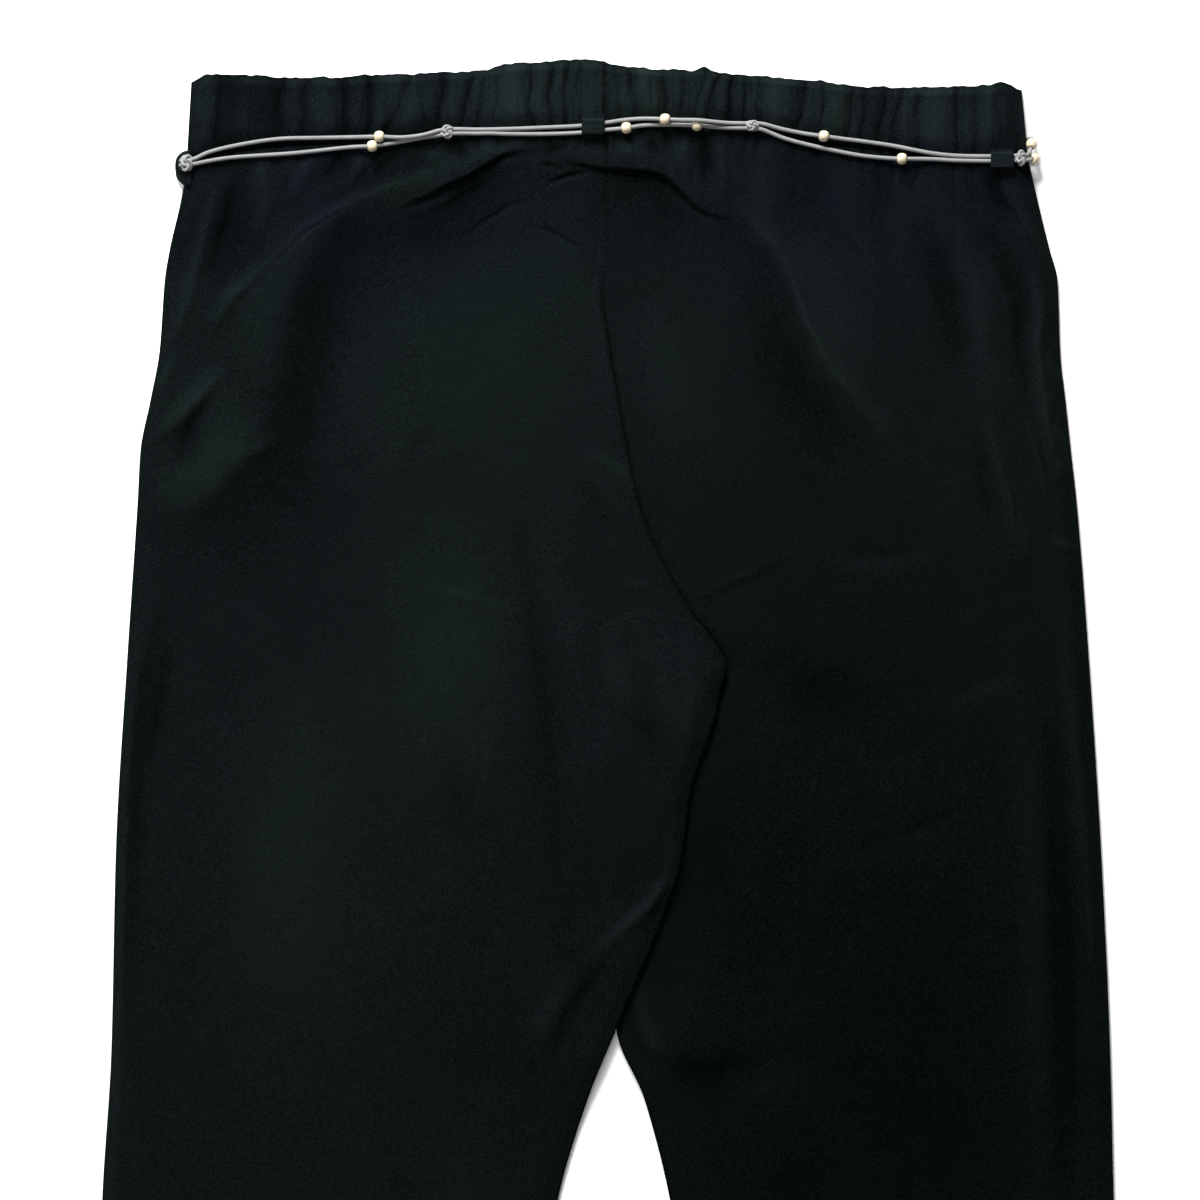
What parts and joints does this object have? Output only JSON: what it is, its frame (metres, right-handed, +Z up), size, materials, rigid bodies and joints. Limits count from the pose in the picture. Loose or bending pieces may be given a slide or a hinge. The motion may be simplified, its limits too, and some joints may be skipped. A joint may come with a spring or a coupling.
{
  "type": "drawstring trousers",
  "caption": "Elastic-waist trousers laid flat, back side up, with belt loops and a knotted, beaded double drawstring",
  "frame": {"origin": "on the surface the trousers lie on, under the middle of the laid garment without its cord", "axes": "+X to the wearer's right side as laid with the back up, +Y from the hems to the waist, +Z up from the surface"},
  "size_m": [0.5775, 1.009, 0.0158],
  "materials": {
    "cloth": "smooth near-black cloth with a soft sheen",
    "cord": "waxed grey braided cord",
    "bead": "plain turned pale wood"
  },
  "bodies": {
    "root": {"front_left": "cloth", "front_right": "cloth", "back_left": "cloth", "back_right": "cloth", "waistband_front": "cloth", "waistband_back": "cloth", "belt_loop_back": "cloth", "belt_loop_left": "cloth", "belt_loop_right": "cloth", "cord_upper_1": "cord", "cord_upper_2": "cord", "cord_upper_3": "cord", "cord_upper_4": "cord", "cord_upper_5": "cord", "cord_lower_1": "cord", "cord_lower_2": "cord", "cord_lower_3": "cord", "cord_lower_4": "cord", "cord_lower_5": "cord", "knot_left": "cord", "knot_back_left": "cord", "knot_back_right": "cord", "knot_right": "cord", "knot_front": "cord", "bead_1": "bead", "bead_2": "bead", "bead_3": "bead", "bead_4": "bead", "bead_5": "bead", "bead_6": "bead", "bead_7": "bead", "bead_8": "bead", "bead_9": "bead"}
  },
  "joints": []
}
